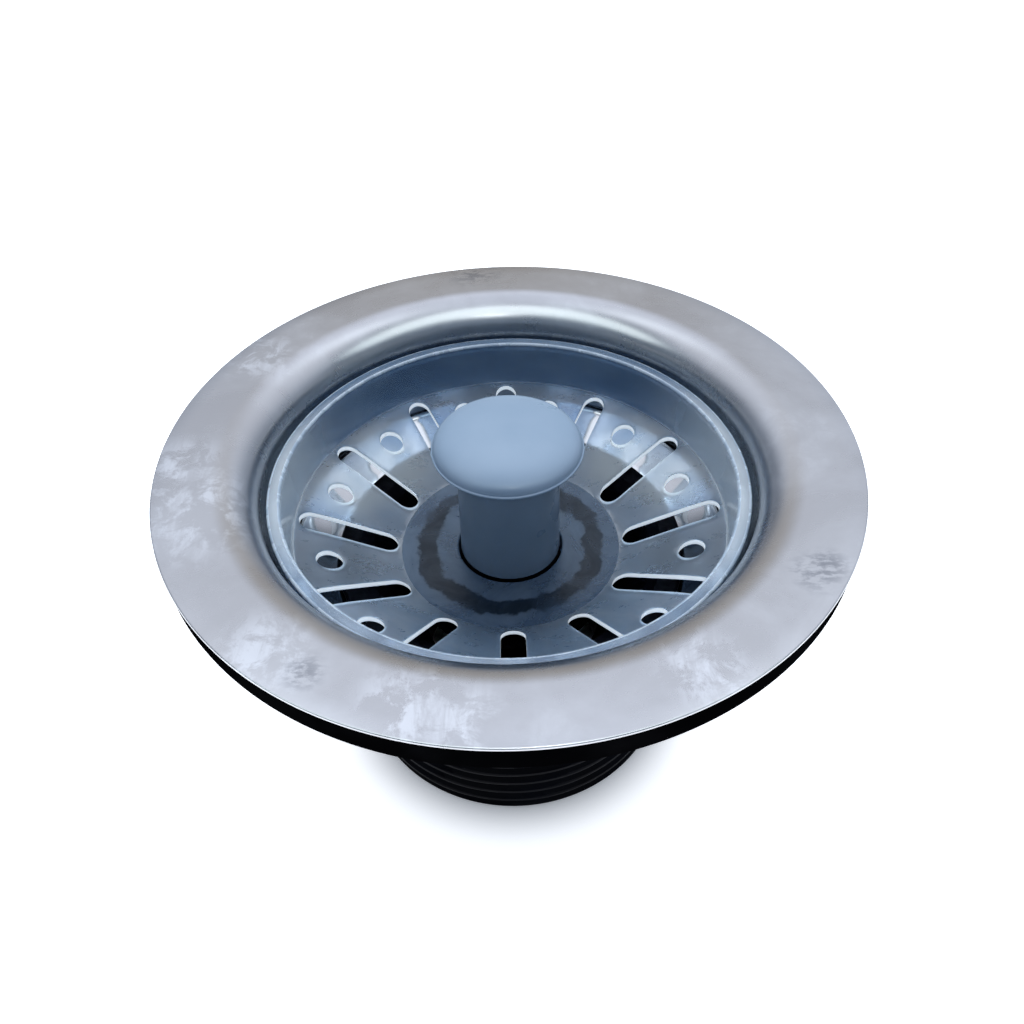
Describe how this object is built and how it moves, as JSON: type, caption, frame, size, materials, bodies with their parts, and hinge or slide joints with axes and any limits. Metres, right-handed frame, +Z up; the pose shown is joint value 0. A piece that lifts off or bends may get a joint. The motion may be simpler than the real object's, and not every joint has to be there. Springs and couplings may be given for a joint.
{
  "type": "sink drain basket strainer with push plunger",
  "caption": "Kitchen sink drain: steel flange dish on a black threaded body, with a clear lift-out strainer basket and a push-down stopper knob.",
  "frame": {"origin": "centre of the outlet pipe's open lower end", "axes": "+Z up along the drain's axis; -Y is the side that a basket slot points to in front"},
  "size_m": [0.114, 0.114, 0.0683],
  "materials": {
    "satin_steel": "satin brushed, lightly scuffed",
    "black_rubber": "matte rubber",
    "black_plastic": "moulded, slight sheen",
    "clear_plastic": "clear, slightly cloudy",
    "grey_plastic": "satin moulded",
    "hardware_steel": "bright zinc-plated",
    "white_plastic": "matte"
  },
  "bodies": {
    "drain": {"flange_dish": "satin_steel", "rim_gasket": "black_rubber", "dish_seal": "black_rubber", "drain_body": "black_plastic", "outlet_seat": "black_plastic"},
    "clamp": {"deck_gasket": "black_rubber", "friction_washer": "white_plastic"},
    "nut": {"locknut": "black_plastic"},
    "basket": {"basket": "clear_plastic"},
    "plunger": {"knob_cap": "grey_plastic", "knob_stem": "grey_plastic", "detent_ring": "black_rubber", "stopper_plate": "black_plastic", "stopper_seal": "black_rubber", "seal_washer": "hardware_steel", "spindle": "hardware_steel", "spindle_nut": "hardware_steel"}
  },
  "joints": [
    {"name": "basket_lift", "type": "slide", "parent": "drain", "child": "basket", "axis": [0, 0, 1], "range_m": [0, 0.06]},
    {"name": "plunger_push", "type": "slide", "parent": "basket", "child": "plunger", "axis": [0, 0, -1], "range_m": [0, 0.007]},
    {"name": "clamp_slide", "type": "slide", "parent": "drain", "child": "clamp", "axis": [0, 0, 1], "range_m": [-0.0081, 0]},
    {"name": "nut_turn", "type": "hinge", "parent": "clamp", "child": "nut", "pos_m": [0, 0, 0.05], "axis": [0, 0, 1], "range_deg": [-720, 0]}
  ],
  "couplings": [
    {"joint": "clamp_slide", "follows": "nut_turn", "m_per_rad": 0.00063662}
  ]
}
